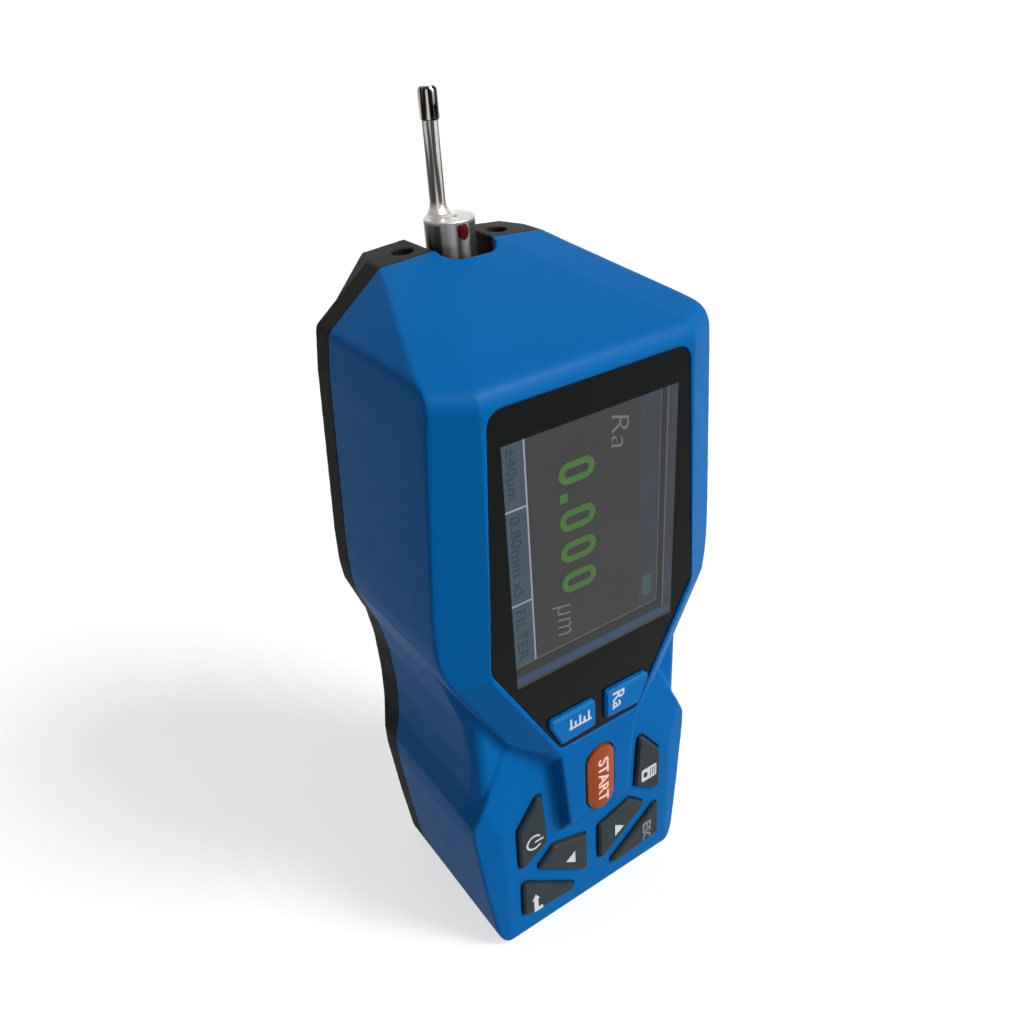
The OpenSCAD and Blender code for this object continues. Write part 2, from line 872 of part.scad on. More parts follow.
// Outline of a spur gear with straight-flanked teeth
function gear_outline(teeth, m) =
    let (r = m * teeth / 2, a = 360 / teeth, tip = r + m, root = r - 1.2 * m)
    [for (i = [0 : teeth - 1])
        each [
            root * [cos(i * a - 0.31 * a), sin(i * a - 0.31 * a)],
            r * [cos(i * a - 0.24 * a), sin(i * a - 0.24 * a)],
            tip * [cos(i * a - 0.1 * a), sin(i * a - 0.1 * a)],
            tip * [cos(i * a + 0.1 * a), sin(i * a + 0.1 * a)],
            r * [cos(i * a + 0.24 * a), sin(i * a + 0.24 * a)],
            root * [cos(i * a + 0.31 * a), sin(i * a + 0.31 * a)]]];

// Pinion on the motor shaft, with a tooth space towards the lead screw
module motor_pinion() {
    color([0.8, 0.65, 0.3])
        translate([motor_x, screw_y, 0]) {
            translate([0, 0, gear_low])
                rotate([0, 0, 180 + 180 / pinion_teeth])
                    linear_extrude(gear_face)
                        polygon(gear_outline(pinion_teeth, gear_module * 0.985));
            translate([0, 0, low_shelf - 5.5])
                cylinder(r = 0.75, h = gear_low + gear_face - low_shelf + 5.5);
        }
}

module screw_gear() {
    color([0.8, 0.65, 0.3])
        translate([0, screw_y, gear_low])
            difference() {
                union() {
                    linear_extrude(gear_face)
                        polygon(gear_outline(gear_teeth, gear_module * 0.985));
                    cylinder(r = screw_d / 2 + 1.2, h = gear_face + 1.2);
                }
                translate([0, 0, -1])
                    cylinder(d = screw_d, h = gear_face + 4);
            }
}

module lead_screw() {
    color([0.7, 0.7, 0.72])
        translate([0, screw_y, low_shelf + 0.2])
            cylinder(d = screw_d, h = top_shelf + shelf_t - low_shelf - 0.4);
}

// Plain bushes that carry the lead screw in the three shelves
module screw_bushes() {
    color([0.7, 0.5, 0.25])
        for (z = [low_shelf, mid_shelf, top_shelf])
            translate([0, screw_y, z])
                difference() {
                    cylinder(r = screw_d / 2 + 1.5, h = shelf_t);
                    translate([0, 0, -1])
                        cylinder(r = screw_d / 2 + run, h = shelf_t + 2);
                }
}

module guide_rods() {
    color([0.75, 0.75, 0.77])
        for (x = [-1, 1])
            translate([x * rod_x, rod_y, mid_shelf])
                cylinder(d = rod_d, h = top_shelf + shelf_t - mid_shelf);
}

// Carriage that slides on the guide rods
module carriage() {
    color([0.15, 0.16, 0.17])
        difference() {
            union() {
                block(-rod_x - carriage_side, rod_x + carriage_side, rod_d0 - carriage_deep,
                    rod_d0 + carriage_deep, carriage_low, carriage_top);
                block(-hub_half, hub_half, screw_d0 - hub_front, axis_d + hub_back,
                    carriage_low, carriage_top);
            }
            for (x = [-1, 1])
                translate([x * rod_x, rod_y, carriage_low - 1])
                    cylinder(r = rod_d / 2 + run, h = carriage_h + 2);
            translate([0, screw_y, carriage_low - 1])
                cylinder(r = screw_d / 2 + 1.2, h = carriage_h + 2);
        }
}

module drive_nut() {
    color([0.75, 0.55, 0.3])
        translate([0, screw_y, carriage_low + 3])
            difference() {
                cylinder(r = screw_d / 2 + 1.2, h = carriage_h - 6);
                translate([0, 0, -1])
                    cylinder(r = screw_d / 2 + run, h = carriage_h);
            }
}

// Connector on the carriage that the pickup plugs into
module pickup_socket() {
    color([0.12, 0.12, 0.13])
        translate([0, axis_y, carriage_top])
            difference() {
                cylinder(d = pickup_d - 0.4, h = socket_h);
                translate([0, 0, 1])
                    cylinder(r = plug_r + 0.1, h = socket_h);
            }
}

// Turned pickup body with its plug and the sealed screw's hole
module pickup_body() {
    r = pickup_d / 2;
    edge = 0.15;
    color([0.62, 0.63, 0.64])
        difference() {
            translate([0, axis_y, pickup_low])
                rotate_extrude()
                    polygon([
                        [0, -plug_len],
                        [plug_r, -plug_len],
                        [plug_r, 0],
                        [r, 0],
                        [r, pickup_len - edge],
                        [r - edge, pickup_len],
                        [0, pickup_len]]);
            translate([tube_x, tube_y, pivot_z - 3])
                cylinder(r = lever_bore, h = 40);
            translate([0, lock_y, lock_z])
                rotate([90, 0, 0])
                    cylinder(r = lock_r, h = 4);
            translate([0.9, axis_y - 0.6, pickup_top - 1.5])
                cylinder(r = 0.45, h = 3);
        }
}

// Thin tube with a flared foot
module stylus_tube() {
    r = tube_d / 2;
    flare = [for (a = [0 : 15 : 90]) [r + flare_out * (1 - sin(a)), 0.05 + flare_h * (1 - cos(a))]];
    color([0.7, 0.7, 0.71])
        translate([tube_x, tube_y, pickup_top])
            difference() {
                intersection() {
                    rotate_extrude()
                        polygon(concat([[0, 0], [r + flare_out, 0]], flare, [[r, tube_len], [0, tube_len]]));
                    translate([-tube_x, -tube_off, -1])
                        cylinder(d = pickup_d - 0.2, h = tube_len + 2);
                }
                translate([0, 0, -1])
                    cylinder(r = lever_bore, h = tube_len + 2);
            }
}

// Polished skid with the cross slot for the stylus
module skid_head() {
    r = head_d / 2;
    round = 0.9;
    crown = [for (a = [0 : 22.5 : 90]) [r - round * (1 - cos(a)), head_len - round * (1 - sin(a))]];
    color([0.35, 0.34, 0.33])
        translate([tube_x, tube_y, tube_top])
            difference() {
                rotate_extrude()
                    polygon(concat([[0, 0], [r - 0.2, 0], [r, 0.25]], crown, [[0, head_len]]));
                translate([0, 0, -1])
                    cylinder(r = lever_bore, h = slot_len + 2.2);
                translate([0, r + 1, 0.6 + slot_len / 2])
                    rotate([90, 0, 0])
                        linear_extrude(head_d + 2)
                            obround(slot_w, slot_len);
            }
}

// Lever with the stylus tip at its free end
module stylus_lever() {
    color([0.6, 0.6, 0.62])
        translate([tube_x, tube_y, 0]) {
            translate([0, 0, pivot_z])
                cylinder(r = lever_r, h = tip_z + 0.35 - pivot_z);
            translate([-0.6, 0, pivot_z])
                rotate([0, 90, 0])
                    cylinder(r = 0.55, h = 1.2);
            translate([0, 0, tip_z])
                rotate([-90, 0, 0])
                    cylinder(r1 = 0.3, r2 = 0.05, h = head_d / 2 + 0.15);
        }
}

// Set screw under a drop of red lacquer
module lock_screw() {
    color([0.55, 0.06, 0.08])
        translate([0, lock_y, lock_z])
            rotate([90, 0, 0])
                cylinder(r = lock_r, h = 1.5);
}

module case_screws() {
    color([0.2, 0.2, 0.2])
        screw_places() {
            difference() {
                bar(0, 0, head_r, case_depth - 3.5, case_depth - 1.5);
                for (turn = [0, 90])
                    rotate([0, turn, 0])
                        block(-recess / 2, recess / 2, case_depth - 2.7, case_depth,
                            -recess_w / 2, recess_w / 2);
            }
            bar(0, 0, screw_r, front_depth - 7.5, case_depth - 3.4);
        }
}

module threaded_inserts() {
    color([0.22, 0.22, 0.22])
        for (x = [-1, 1])
            translate([x * insert_x, insert_d - mid_depth, case_length - insert_len - 0.8])
                difference() {
                    cylinder(r = insert_r, h = insert_len);
                    translate([0, 0, -1])
                        cylinder(r = hole_r, h = insert_len + 2);
                }
}

front_shell();
rear_shell();
display_window();
display_module();
display_frame();
start_key();
scale_key();
parameter_key();
power_key();
menu_key();
left_key();
right_key();
enter_key();
escape_key();
key_mat();
main_board();
board_screws();
battery_pack();
charge_socket();
drive_frame();
frame_screws();
drive_motor();
motor_pinion();
screw_gear();
lead_screw();
screw_bushes();
guide_rods();
carriage();
drive_nut();
pickup_socket();
pickup_body();
stylus_tube();
skid_head();
stylus_lever();
lock_screw();
case_screws();
threaded_inserts();
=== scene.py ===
import json
import math

import bmesh
import bpy
import numpy as np
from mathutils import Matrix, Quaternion, Vector
from mathutils.bvhtree import BVHTree


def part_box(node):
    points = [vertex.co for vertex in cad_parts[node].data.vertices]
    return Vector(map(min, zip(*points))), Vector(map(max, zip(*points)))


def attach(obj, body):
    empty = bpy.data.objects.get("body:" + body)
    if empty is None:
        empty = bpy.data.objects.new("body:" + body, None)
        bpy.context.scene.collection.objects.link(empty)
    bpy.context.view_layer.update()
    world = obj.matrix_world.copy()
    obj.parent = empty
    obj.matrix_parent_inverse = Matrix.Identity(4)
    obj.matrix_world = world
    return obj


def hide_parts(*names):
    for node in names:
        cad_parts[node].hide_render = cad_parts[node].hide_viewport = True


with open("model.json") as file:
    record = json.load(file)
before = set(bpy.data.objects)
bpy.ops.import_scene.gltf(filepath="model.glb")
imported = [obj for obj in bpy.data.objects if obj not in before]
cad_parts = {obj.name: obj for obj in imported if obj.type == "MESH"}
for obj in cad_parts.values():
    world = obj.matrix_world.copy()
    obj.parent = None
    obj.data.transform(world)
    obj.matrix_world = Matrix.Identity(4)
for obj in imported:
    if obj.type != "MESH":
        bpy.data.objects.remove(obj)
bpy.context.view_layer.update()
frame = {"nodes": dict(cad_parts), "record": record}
scene = bpy.context.scene
nodes = frame["nodes"]
node_slot = {row["node"]: row["material_slot"] for row in frame["record"]["subparts"]}
node_body = {node: body for body, row in frame["record"]["behaviour"]["bodies"].items() for node in row}

MM = 0.001

# Camera of the photograph, in the frame of the part, with its roll in degrees
PHOTO_SIDE = 1024
FOCAL_PIXELS = 945
SENSOR = 36
CAMERA_PLACE = Vector((-86.62, -132.16, 189.67)) * MM
CAMERA_TARGET = Vector((-10.64, -13.28, 104.12)) * MM
CAMERA_ROLL = -3.83
CLIP_NEAR = 0.01
CLIP_FAR = 50

# Colours as they show in even light, sRGB from 0 to 255, besides the painted shade and painted highlight
# colours of metals
# A deep or pale one makes the soft patches of a surface, and the painted ones make painted reflection
# streaks
BLUE = (0, 95, 162)
BLUE_DEEP = (0, 92, 158)
BLACK = (42, 42, 41)
BLACK_DEEP = (36, 36, 35)
PANEL = (8, 12, 12)
PANEL_PALE = (11, 15, 15)
KEY_BLUE = (0, 104, 174)
KEY_BLUE_DEEP = (0, 98, 166)
KEY_GREY = (46, 54, 56)
KEY_GREY_DEEP = (42, 49, 52)
KEY_ORANGE = (150, 66, 22)
KEY_ORANGE_DEEP = (140, 60, 18)
LEGEND = (205, 210, 214)
LEGEND_DIM = (128, 133, 137)
LEGEND_WARM = (245, 205, 190)
DISPLAY = (58, 59, 58)
DISPLAY_PALE = (66, 67, 66)
DISPLAY_BAND = (66, 76, 88)
DISPLAY_EDGE = (50, 74, 106)
DISPLAY_DARK = (50, 51, 53)
DISPLAY_DARK_PALE = (56, 58, 60)
DISPLAY_CELL = (70, 85, 95)
DISPLAY_CELL_DEEP = (64, 78, 88)
DISPLAY_LINE = (148, 148, 166)
DISPLAY_RIM = (104, 104, 112)
DISPLAY_WORD = (112, 110, 119)
DISPLAY_FAINT = (55, 66, 74)
DISPLAY_GREEN = (76, 113, 62)
DISPLAY_GREEN_DEEP = (70, 104, 60)
DISPLAY_BATTERY = (70, 86, 84)
ALUMINIUM = (120, 118, 116)
ALUMINIUM_DEEP = (50, 49, 48)
ALUMINIUM_PALE = (172, 170, 168)
# Painted shade and painted highlight of the pickup's painted reflection streaks and bright top
BLASTED_PAINTED_SHADE = (58, 56, 54)
BLASTED_PAINTED_HIGHLIGHT = (166, 164, 162)
TUBE = (150, 148, 145)
# Painted shade and painted highlight of the tube's painted reflection streaks and bright foot
TUBE_PAINTED_SHADE = (66, 62, 59)
TUBE_PAINTED_HIGHLIGHT = (190, 186, 182)
CHROME = (92, 88, 85)
# Painted shade and painted highlight of the skid head's painted reflection streaks and bright top
CHROME_PAINTED_SHADE = (26, 24, 23)
CHROME_PAINTED_HIGHLIGHT = (196, 190, 184)
STEEL = (180, 180, 182)
DARK_STEEL = (48, 48, 48)
BRASS = (196, 158, 90)
LACQUER = (104, 3, 10)
LACQUER_DEEP = (48, 1, 5)
PLASTIC_BLACK = (30, 31, 32)
PLASTIC_BLACK_DEEP = (24, 25, 26)
PLASTIC_WHITE = (214, 214, 206)
PLASTIC_WHITE_DEEP = (204, 204, 196)
RUBBER = (205, 205, 200)
RUBBER_DEEP = (194, 194, 188)
BOARD = (20, 84, 44)
BOARD_DEEP = (14, 70, 36)
FILM = (48, 78, 150)
FILM_DEEP = (40, 68, 140)


def linear(color):
    """Scene colour of an sRGB colour."""
    shares = [c / 255 for c in color]
    return tuple(s / 12.92 if s <= 0.04045 else ((s + 0.055) / 1.055) ** 2.4 for s in shares) + (1.0,)


# Steps that materials and the world share

def ranged(tree, value, start, full, low, high, interpolation="LINEAR"):
    """Turns a value that runs from start to full into one that runs from low to high."""
    spread = tree.nodes.new("ShaderNodeMapRange")
    spread.interpolation_type = interpolation
    spread.inputs["From Min"].default_value = start
    spread.inputs["From Max"].default_value = full
    spread.inputs["To Min"].default_value = low
    spread.inputs["To Max"].default_value = high
    tree.links.new(value, spread.inputs["Value"])
    return spread.outputs["Result"]


def larger(tree, first, second):
    """The larger of two values."""
    either = tree.nodes.new("ShaderNodeMath")
    either.operation = "MAXIMUM"
    tree.links.new(first, either.inputs[0])
    tree.links.new(second, either.inputs[1])
    return either.outputs[0]


def height_in(tree, space):
    """The height of a place, or how far up a direction points."""
    place = tree.nodes.new("ShaderNodeTexCoord")
    split = tree.nodes.new("ShaderNodeSeparateXYZ")
    tree.links.new(place.outputs[space], split.inputs["Vector"])
    return split.outputs["Z"]


# Materials

def surface(name, color, roughness, metallic=0.0, specular=0.5):
    """A material with one even colour, for the functions below to work on."""
    made = bpy.data.materials.new(name)
    made.use_nodes = True
    shader = made.node_tree.nodes["Principled BSDF"]
    shader.inputs["Base Color"].default_value = linear(color)
    shader.inputs["Roughness"].default_value = roughness
    shader.inputs["Metallic"].default_value = metallic
    shader.inputs["Specular IOR Level"].default_value = specular
    return made


def feed(made, value, socket):
    """Links a value to a socket of a material's shader."""
    made.node_tree.links.new(value, made.node_tree.nodes["Principled BSDF"].inputs[socket])


def noise(made, size, detail=2.0, stretch=(1, 1, 1)):
    """Noise with patches of about that size, longer along an axis that is stretched."""
    tree = made.node_tree
    place = tree.nodes.new("ShaderNodeTexCoord")
    shape = tree.nodes.new("ShaderNodeMapping")
    shape.inputs["Scale"].default_value = [1 / s for s in stretch]
    texture = tree.nodes.new("ShaderNodeTexNoise")
    texture.inputs["Scale"].default_value = 1 / size
    texture.inputs["Detail"].default_value = detail
    tree.links.new(place.outputs["Object"], shape.inputs["Vector"])
    tree.links.new(shape.outputs["Vector"], texture.inputs["Vector"])
    return texture.outputs["Fac"]


# Noise mostly lies between low and high, and painted reflection streaks turn from dark to bright around the
# middle
NOISE_LOW = 0.3
NOISE_HIGH = 0.7
STREAK_MIDDLE = 0.53
STREAK_DETAIL = 1.0
STREAK_STRETCH = (1, 1, 30)
GRAIN_DETAIL = 3.0


def blend(made, color, other, share):
    """Colours a material with two colours, mixed by a share."""
    tree = made.node_tree
    mix = tree.nodes.new("ShaderNodeMix")
    mix.data_type = "RGBA"
    mix.inputs["A"].default_value = linear(color)
    mix.inputs["B"].default_value = linear(other)
    tree.links.new(share, mix.inputs["Factor"])
    feed(made, mix.outputs["Result"], "Base Color")


def add_grain(made, size, height, stretch=(1, 1, 1)):
    """Fine bumps all over the surface."""
    tree = made.node_tree
    bump = tree.nodes.new("ShaderNodeBump")
    bump.inputs["Strength"].default_value = 1.0
    bump.inputs["Distance"].default_value = height
    tree.links.new(noise(made, size, GRAIN_DETAIL, stretch), bump.inputs["Height"])
    feed(made, bump.outputs["Normal"], "Normal")


def add_mottle(made, color, other, size):
    """Soft patches of a second colour."""
    blend(made, color, other, noise(made, size))


def add_smears(made, low, high, size):
    """Patches that are rougher and smoother."""
    patches = noise(made, size)
    feed(made, ranged(made.node_tree, patches, NOISE_LOW, NOISE_HIGH, low, high), "Roughness")


def add_painted_reflections(made, dark, bright, size, start, full, blur=0.07):
    """Painted reflections: bright and dark streaks along the height, with a blur between them, which stand
    in for what a ground and polished rod mirrors.

    They come in from the height start to the height full, and before start the surface is painted bright, a
    painted highlight.
    """
    tree = made.node_tree
    grain = noise(made, size, STREAK_DETAIL, STREAK_STRETCH)
    # Painted reflections: dark and bright streaks
    streaks = ranged(tree, grain, STREAK_MIDDLE - blur, STREAK_MIDDLE + blur, 0.0, 1.0, "SMOOTHSTEP")
    # Painted highlight: bright before the height start
    plain = ranged(tree, height_in(tree, "Object"), start, full, 1.0, 0.0)
    blend(made, dark, bright, larger(tree, streaks, plain))


def moulded(name, color, other, roughness, specular, grain=0.25 * MM, height=0.012 * MM):
    """Moulded plastic with a fine spark texture."""
    made = surface(name, color, roughness, specular=specular)
    add_mottle(made, color, other, size=9 * MM)
    add_smears(made, low=roughness - 0.02, high=roughness + 0.02, size=4 * MM)
    add_grain(made, grain, height)
    return made


def metal(name, color, roughness, grain, height, stretch=(1, 1, 1), metallic=1.0):
    """Bare metal with the marks of its last machining, less metallic where it was blasted dull."""
    made = surface(name, color, roughness, metallic)
    add_smears(made, low=0.8 * roughness, high=1.25 * roughness, size=1.5 * MM)
    add_grain(made, grain, height, stretch)
    return made


def glassy(name, color, other=None):
    """Print or display behind a smooth clear face."""
    made = surface(name, color, roughness=0.16, specular=0.08)
    add_mottle(made, color, other or color, size=14 * MM)
    add_smears(made, low=0.12, high=0.2, size=11 * MM)
    return made


def ink(name, color):
    """Thin printed ink on a key."""
    made = surface(name, color, roughness=0.5, specular=0.3)
    worn = [0.93 * c for c in color]
    add_mottle(made, color, worn, size=0.6 * MM)
    add_grain(made, size=0.2 * MM, height=0.004 * MM)
    return made


# Plastics
shell_blue = moulded("shell_blue", BLUE, BLUE_DEEP, roughness=0.48, specular=0.035)
shell_black = moulded("shell_black", BLACK, BLACK_DEEP, roughness=0.5, specular=0.012)
key_blue = moulded("key_blue", KEY_BLUE, KEY_BLUE_DEEP, roughness=0.38, specular=0.06,
                   grain=0.2 * MM, height=0.006 * MM)
key_grey = moulded("key_grey", KEY_GREY, KEY_GREY_DEEP, roughness=0.45, specular=0.06,
                   grain=0.2 * MM, height=0.006 * MM)
key_orange = moulded("key_orange", KEY_ORANGE, KEY_ORANGE_DEEP, roughness=0.34, specular=0.12,
                     grain=0.3 * MM, height=0.005 * MM)
plastic_black = moulded("plastic_black", PLASTIC_BLACK, PLASTIC_BLACK_DEEP, roughness=0.5, specular=0.4)
plastic_white = moulded("plastic_white", PLASTIC_WHITE, PLASTIC_WHITE_DEEP, roughness=0.5, specular=0.4)
rubber = moulded("rubber", RUBBER, RUBBER_DEEP, roughness=0.7, specular=0.3)
board_green = moulded("board_green", BOARD, BOARD_DEEP, roughness=0.35, specular=0.5)
film_blue = moulded("film_blue", FILM, FILM_DEEP, roughness=0.3, specular=0.5)
panel_gloss = glassy("panel_gloss", PANEL, PANEL_PALE)

# Metals
aluminium = metal("aluminium", ALUMINIUM, roughness=0.34, grain=0.12 * MM, height=0.006 * MM, metallic=0.6)
add_mottle(aluminium, ALUMINIUM_DEEP, ALUMINIUM_PALE, size=0.2 * MM)

blasted = metal("blasted", ALUMINIUM, roughness=0.36, grain=0.12 * MM, height=0.014 * MM, metallic=0.6)
body_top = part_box("pickup_body")[1].z
# Painted reflections: dark and bright streaks down the pickup's side, and a painted highlight on its top
# face
add_painted_reflections(blasted, BLASTED_PAINTED_SHADE, BLASTED_PAINTED_HIGHLIGHT, size=2.6 * MM,
            start=body_top - 0.1 * MM, full=body_top - 0.7 * MM, blur=0.13)

tube_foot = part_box("stylus_tube")[0].z
# Turned tube whose colour carries painted reflections
tube_painted_reflections = metal("tube_painted_reflections", TUBE, roughness=0.3, grain=0.09 * MM, height=0.004 * MM, metallic=0.8)
# Painted reflections: dark and bright streaks along the tube, and a painted highlight on its flared foot
add_painted_reflections(tube_painted_reflections, TUBE_PAINTED_SHADE, TUBE_PAINTED_HIGHLIGHT, size=0.8 * MM,
            start=tube_foot + 0.8 * MM, full=tube_foot + 2.4 * MM)

steel = metal("steel", STEEL, roughness=0.3, grain=0.1 * MM, height=0.004 * MM, stretch=(1, 1, 8))
dark_steel = metal("dark_steel", DARK_STEEL, roughness=0.4, grain=0.1 * MM, height=0.004 * MM)
brass = metal("brass", BRASS, roughness=0.3, grain=0.1 * MM, height=0.004 * MM)

dark_chrome = metal("dark_chrome", CHROME, roughness=0.09, grain=1.2 * MM, height=0.002 * MM)
skid_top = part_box("skid_head")[1].z
# Painted reflections: dark and bright streaks down the skid head, and a painted highlight on its top
add_painted_reflections(dark_chrome, CHROME_PAINTED_SHADE, CHROME_PAINTED_HIGHLIGHT, size=0.7 * MM,
            start=skid_top - 0.04 * MM, full=skid_top - 0.3 * MM)

# Lacquer on the set screw
lacquer = surface("lacquer", LACQUER, roughness=0.16, specular=0.06)
add_mottle(lacquer, LACQUER, LACQUER_DEEP, size=0.5 * MM)
add_grain(lacquer, size=0.5 * MM, height=0.05 * MM)

SLOT_FINISH = {
    "blue_shell": shell_blue,
    "black_shell": shell_black,
    "window": panel_gloss,
    "display": glassy("display_glass", DISPLAY),
    "white_plastic": plastic_white,
    "orange_key": key_orange,
    "blue_key": key_blue,
    "grey_key": key_grey,
    "mat_rubber": rubber,
    "board": board_green,
    "steel": steel,
    "dark_steel": dark_steel,
    "battery": film_blue,
    "brass": brass,
    "aluminium": aluminium,
    "dark_chrome": dark_chrome,
    "red_lacquer": lacquer,
    "black_plastic": plastic_black,
}


def dress(piece, finish):
    """Gives a piece one finish."""
    piece.data.materials.clear()
    piece.data.materials.append(finish)


for node, made in nodes.items():
    dress(made, SLOT_FINISH[node_slot[node]])
dress(nodes["stylus_tube"], tube_painted_reflections)
dress(nodes["pickup_body"], blasted)


# Mouldings: the same solids with their edges rounded as a mould leaves them

REMESH_SCALE = 0.99
SMOOTH_FACTOR = 0.5


def mesh_places(mesh):
    """Vertex places of a mesh, one row each."""
    places = np.empty(len(mesh.vertices) * 3)
    mesh.vertices.foreach_get("co", places)
    return places.reshape(-1, 3)


def as_evaluated(piece):
    """The mesh of a piece with its modifiers worked in."""
    depsgraph = bpy.context.evaluated_depsgraph_get()
    return bpy.data.meshes.new_from_object(piece.evaluated_get(depsgraph))


def work_in(piece):
    """Works the modifiers of a piece into its mesh."""
    piece.data = as_evaluated(piece)
    piece.modifiers.clear()


def softness(places, neighbours, reach, least):
    """1 far from the neighbouring nodes and least where they are close, so that fits stay tight."""
    points = []
    faces = []
    for node in neighbours:
        mesh = nodes[node].data
        start = len(points)
        points += [v.co for v in mesh.vertices]
        faces += [[start + i for i in p.vertices] for p in mesh.polygons]
    tree = BVHTree.FromPolygons(points, faces)
    gaps = [tree.find_nearest(Vector(p), reach)[3] for p in places]
    return [1.0 if gap is None else max(least, gap / reach) for gap in gaps]


def mesh_anew(piece, depth):
    """Gives a piece an even mesh that keeps its sharp edges, and a finer one with more depth."""
    remesh = piece.modifiers.new("remesh", "REMESH")
    remesh.mode = "SHARP"
    remesh.octree_depth = depth
    remesh.scale = REMESH_SCALE
    remesh.use_remove_disconnected = False
    work_in(piece)


def round_edges(piece, passes, neighbours, reach, least):
    """Rounds the edges of a piece, and does so less within reach of the neighbouring nodes."""
    soft = piece.modifiers.new("soft", "SMOOTH")
    soft.factor = SMOOTH_FACTOR
    soft.iterations = passes
    if neighbours:
        group = piece.vertex_groups.new(name="soft")
        for i, share in enumerate(softness(mesh_places(piece.data), neighbours, reach, least)):
            group.add([i], share, "REPLACE")
        soft.vertex_group = group.name
    work_in(piece)
    piece.vertex_groups.clear()
    piece.data.shade_smooth()


def thin_out(piece, keep):
    """Keeps a share of a piece's triangles, shaded as all of them were."""
    dense = bpy.data.objects.new("dense", piece.data.copy())
    scene.collection.objects.link(dense)
    thinner = piece.modifiers.new("thinner", "DECIMATE")
    thinner.ratio = keep
    shading = piece.modifiers.new("shading", "DATA_TRANSFER")
    shading.object = dense
    shading.use_loop_data = True
    shading.data_types_loops = {"CUSTOM_NORMAL"}
    shading.loop_mapping = "POLYINTERP_NEAREST"
    work_in(piece)
    bpy.data.objects.remove(dense)


def moulding(node, depth, passes, keep, neighbours=(), reach=1.0 * MM, least=0.2):
    """A copy of a solid with rounded edges, which stands for it.

    Depth sets how fine its mesh is, passes how round its edges are,
    and keep the share of triangles that stay.
    """
    piece = bpy.data.objects.new(node + "_moulding", nodes[node].data.copy())
    scene.collection.objects.link(piece)
    mesh_anew(piece, depth)
    round_edges(piece, passes, neighbours, reach, least)
    thin_out(piece, keep)
    dress(piece, SLOT_FINISH[node_slot[node]])
    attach(piece, node_body[node])
    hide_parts(node)
    return piece


SOFT_KEYS = ["scale_key", "parameter_key"]
GREY_KEYS = ["power_key", "menu_key", "left_key", "right_key", "enter_key", "escape_key"]
KEYS = ["start_key"] + SOFT_KEYS + GREY_KEYS
FRONT_NEIGHBOURS = KEYS + ["display_window", "rear_shell", "charge_socket"]
REAR_NEIGHBOURS = ["front_shell", "case_screws", "threaded_inserts"]

moulding("front_shell", depth=9, passes=28, keep=0.17, neighbours=FRONT_NEIGHBOURS, reach=5 * MM, least=0.1)
moulding("rear_shell", depth=9, passes=10, keep=0.25, neighbours=REAR_NEIGHBOURS)
caps = {node: moulding(node, depth=7, passes=8, keep=0.5) for node in KEYS}


# Thin layers for printed legends and the display's picture

LETTER_STEPS = 6
LETTER_DEPTH = 0.5
CORNER_STEPS = 5
SAME_PLACE = 1e-7


def add_piece(name, mesh, finish, body):
    """A piece of its own on a body."""
    piece = bpy.data.objects.new(name, mesh)
    scene.collection.objects.link(piece)
    dress(piece, finish)
    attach(piece, body)


def plates(shapes, thick):
    """A mesh of flat outlines, each a list of points across and up, made that thick."""
    made = bmesh.new()
    for outline in shapes:
        made.faces.new([made.verts.new((u, v, 0)) for u, v in outline])
    bmesh.ops.remove_doubles(made, verts=made.verts, dist=SAME_PLACE)
    grown = bmesh.ops.extrude_face_region(made, geom=made.faces[:], use_keep_orig=True)
    raised = [g for g in grown["geom"] if isinstance(g, bmesh.types.BMVert)]
    bmesh.ops.translate(made, vec=(0, 0, thick), verts=raised)
    bmesh.ops.recalc_face_normals(made, faces=made.faces)
    mesh = bpy.data.meshes.new("plates")
    made.to_mesh(mesh)
    made.free()
    return mesh


def word(text, wide, high, thick, weight=0.0, lean=0.0):
    """A mesh of a word, as wide, high and thick as asked, with its middle at the origin."""
    font = bpy.data.curves.new("word", "FONT")
    font.body = text
    font.offset = weight
    font.shear = lean
    font.extrude = LETTER_DEPTH
    font.resolution_u = LETTER_STEPS
    holder = bpy.data.objects.new("word", font)
    scene.collection.objects.link(holder)
    mesh = as_evaluated(holder)
    bpy.data.objects.remove(holder)
    places = mesh_places(mesh)
    low = places.min(axis=0)
    span = places.max(axis=0) - low
    places = (places - low) / span * (wide, high, thick) - (wide / 2, high / 2, 0)
    mesh.vertices.foreach_set("co", places.ravel())
    return mesh


def lay(mesh, x, z, y, turned=True):
    """Lays a mesh on a face that looks to the front.

    A turned one reads downwards, with its top to the right.
    """
    across, up, out = mesh_places(mesh).T
    laid_x = x + (up if turned else across)
    laid_z = z + (-across if turned else up)
    mesh.vertices.foreach_set("co", np.stack([laid_x, y - out, laid_z], axis=1).ravel())
    mesh.update()
    return mesh


def rectangle(u0, u1, v0, v1):
    """Corners of a rectangle, from u0 to u1 one way and v0 to v1 the other."""
    return [(u0, v0), (u1, v0), (u1, v1), (u0, v1)]


def arc(u, v, radius, start, stop, steps):
    """Points along an arc, with its angles in degrees."""
    angles = [math.radians(start + (stop - start) * i / steps) for i in range(steps + 1)]
    return [(u + radius * math.cos(a), v + radius * math.sin(a)) for a in angles]


def rounded_rectangle(u0, u1, v0, v1, r):
    """Outline of a rectangle with its corners rounded."""
    corners = [(u1 - r, v0 + r), (u1 - r, v1 - r), (u0 + r, v1 - r), (u0 + r, v0 + r)]
    starts = [-90, 0, 90, 180]
    arcs = [arc(u, v, r, start, start + 90, CORNER_STEPS) for (u, v), start in zip(corners, starts)]
    return [point for points in arcs for point in points]


def scaled(shapes):
    """Shapes in millimetres, in the units of the scene."""
    return [[(u * MM, v * MM) for u, v in outline] for outline in shapes]


# Printed legends on the keys, with shapes and places in millimetres

